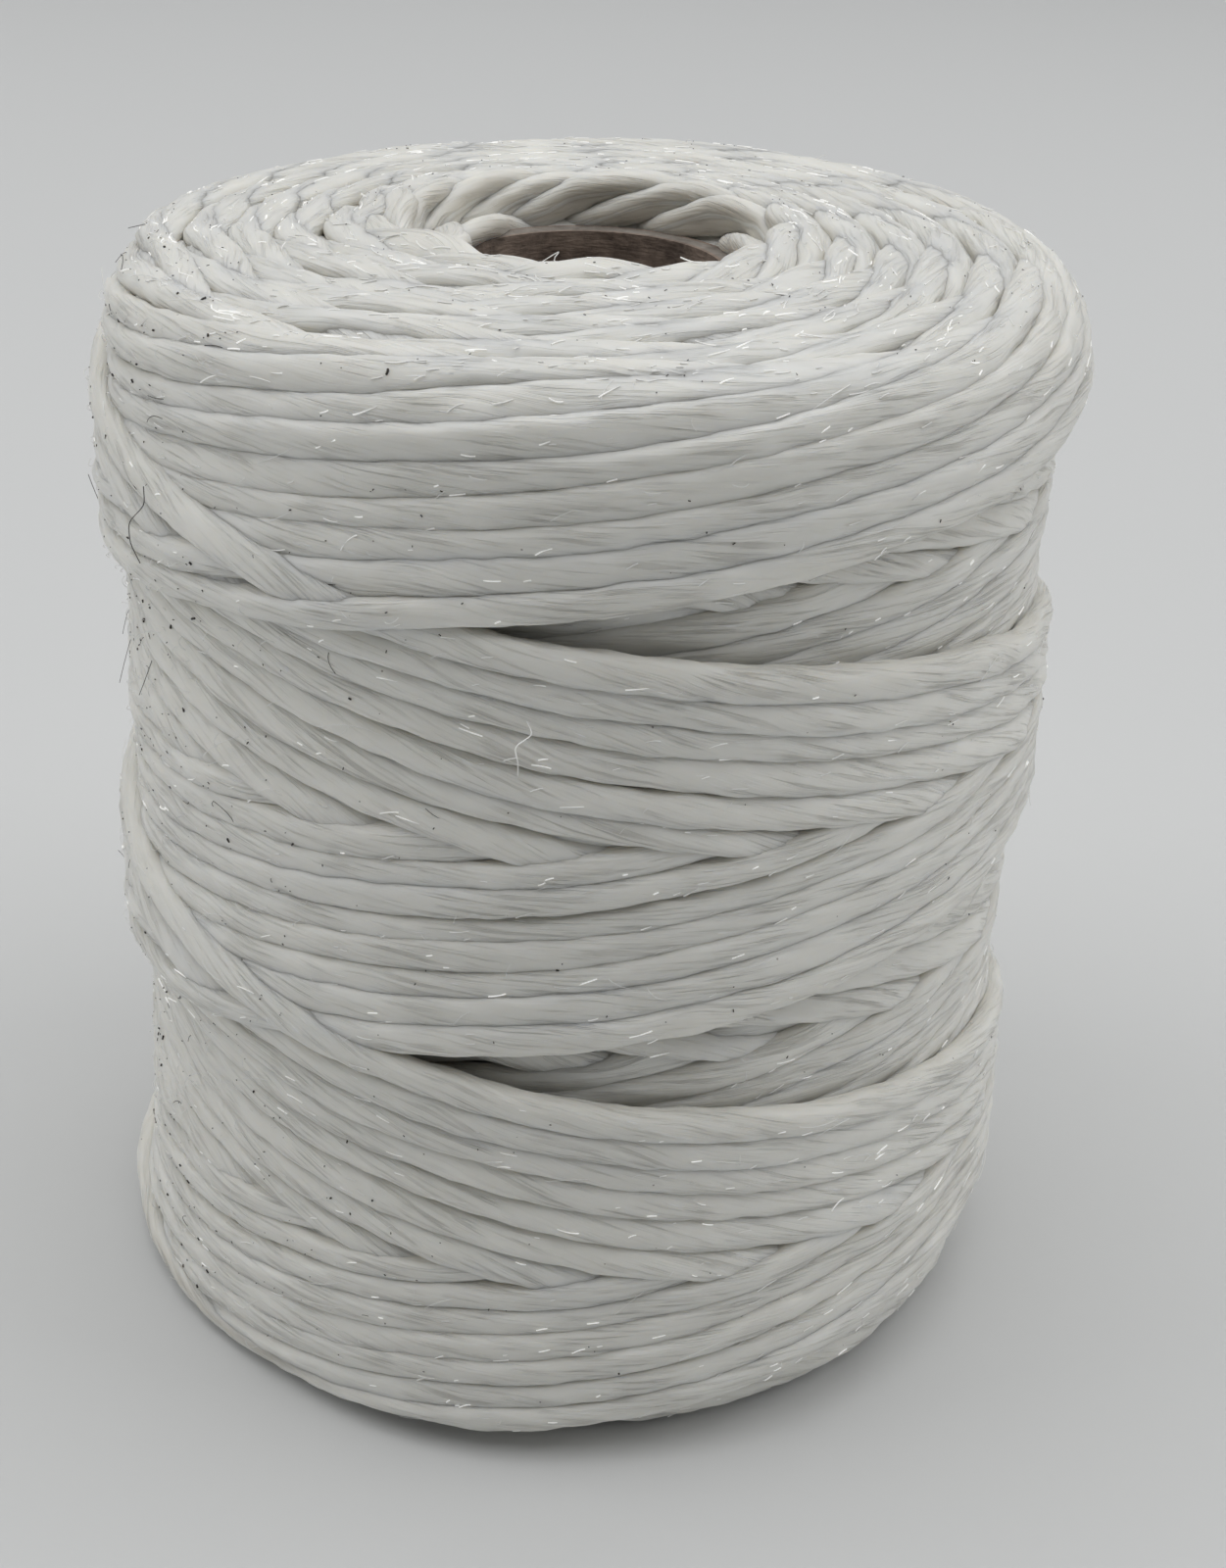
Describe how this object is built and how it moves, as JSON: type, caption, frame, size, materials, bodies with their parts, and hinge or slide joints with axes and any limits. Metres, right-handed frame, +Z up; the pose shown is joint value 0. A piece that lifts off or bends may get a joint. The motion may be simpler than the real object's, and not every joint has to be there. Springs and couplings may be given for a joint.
{
  "type": "waxed thread spool",
  "caption": "Cylindrical package of flat waxed thread, cross-wound in alternating bands on a short paper core tube whose bore slides over a spindle.",
  "frame": {"origin": "centre of the base, on the axis of the bore, where the package stands", "axes": "+Z up along the bore; -Y faces the side on which the crossing bands meet to the left of the middle; +X to the right seen from there"},
  "size_m": [0.072, 0.072, 0.084],
  "materials": {
    "core_paper": "smooth grey-brown paper with a mottled waxy stain",
    "core_board": "matte grey board, its cut plies bare at the rims",
    "waxed_thread": "white flat waxed thread, translucent, with small bright glints",
    "inner_thread": "white waxed thread in the shade of the outer layer"
  },
  "bodies": {
    "root": {"core_liner_ply": "core_paper", "core_board_ply_1": "core_board", "core_board_ply_2": "core_board", "core_board_ply_3": "core_board", "core_cover_ply": "core_paper", "thread_inner_layers": "inner_thread", "thread_side_turns": "waxed_thread", "thread_top_turns": "waxed_thread", "thread_bottom_turns": "waxed_thread"}
  },
  "joints": []
}
